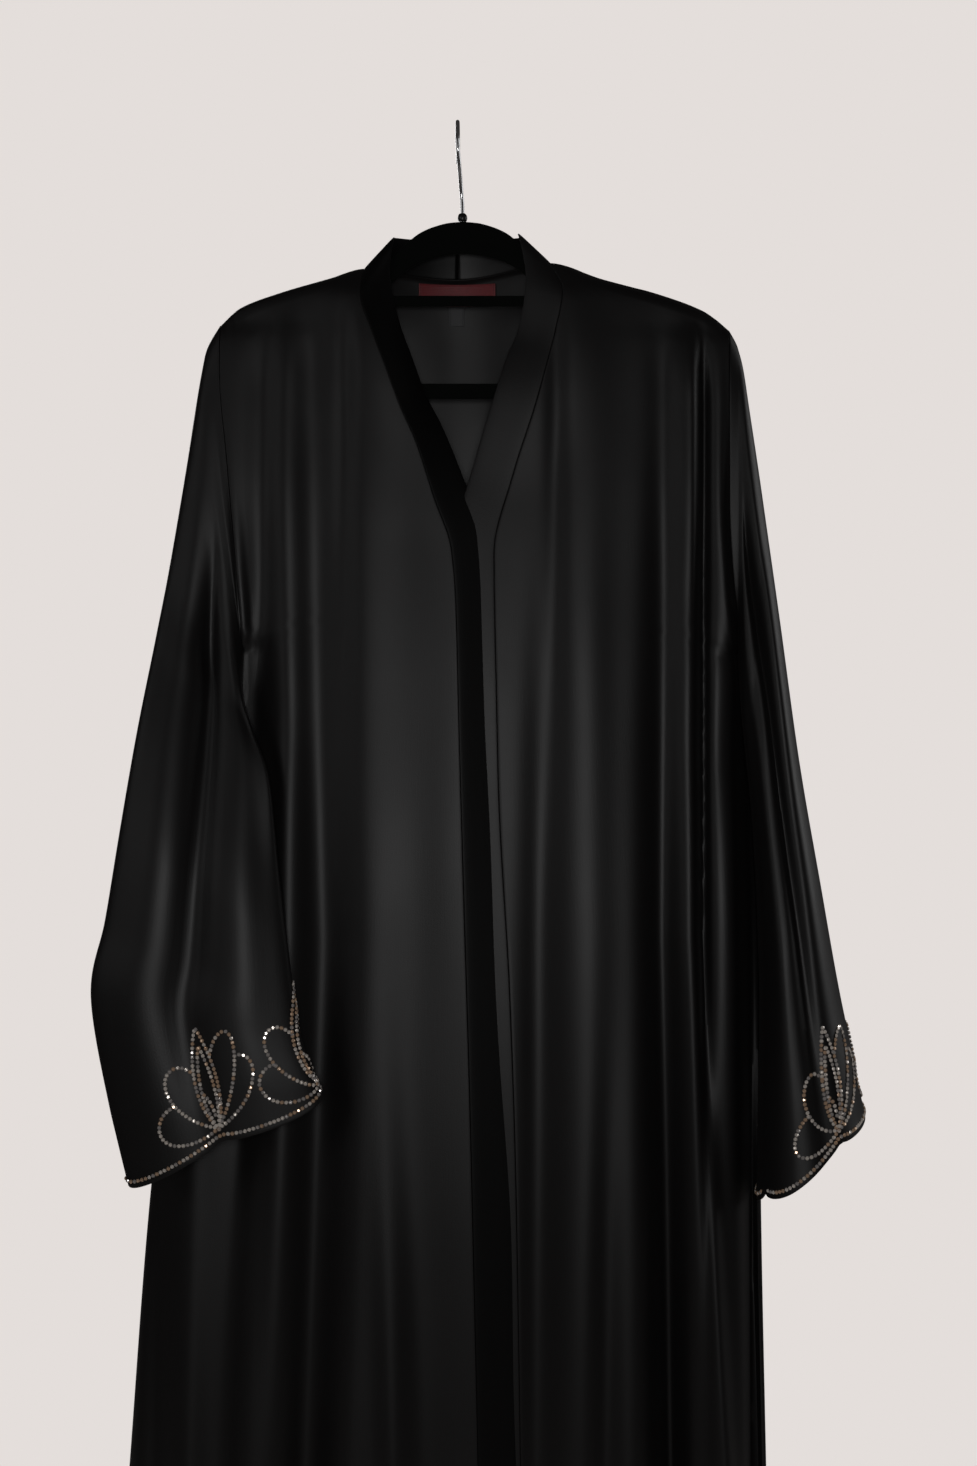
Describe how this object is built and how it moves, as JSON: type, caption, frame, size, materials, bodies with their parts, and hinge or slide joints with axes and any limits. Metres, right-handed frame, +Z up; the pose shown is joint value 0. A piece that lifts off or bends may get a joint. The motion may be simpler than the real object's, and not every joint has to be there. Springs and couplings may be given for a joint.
{
  "type": "abaya cloak on a velvet hanger",
  "caption": "Long open-front cloak with a V neckband, front bands and wide sleeves with scalloped hems, hung on a slim hanger by its wire hook.",
  "frame": {"origin": "the seat inside the top of the hanger's hook, where a rail or peg carries it", "axes": "+Z up, the cloak's front faces -Y, +X towards the wearer's left side"},
  "size_m": [0.6634, 0.1682, 1.6065],
  "materials": {
    "cloth": "black crepe satin with a soft broad sheen",
    "label_red": "plain red woven label",
    "label_grey": "plain dark grey woven tab",
    "velvet": "black flock over moulded plastic",
    "chrome": "bright wire",
    "ferrule": "black moulded collar"
  },
  "bodies": {
    "root": {"front_right": "cloth", "front_left": "cloth", "back": "cloth", "sleeve_right": "cloth", "sleeve_left": "cloth", "band_right": "cloth", "band_left": "cloth", "neck_label": "label_red", "size_label": "label_grey", "hanger": "velvet", "hanger_hook": "chrome", "hanger_ferrule": "ferrule"}
  },
  "joints": []
}
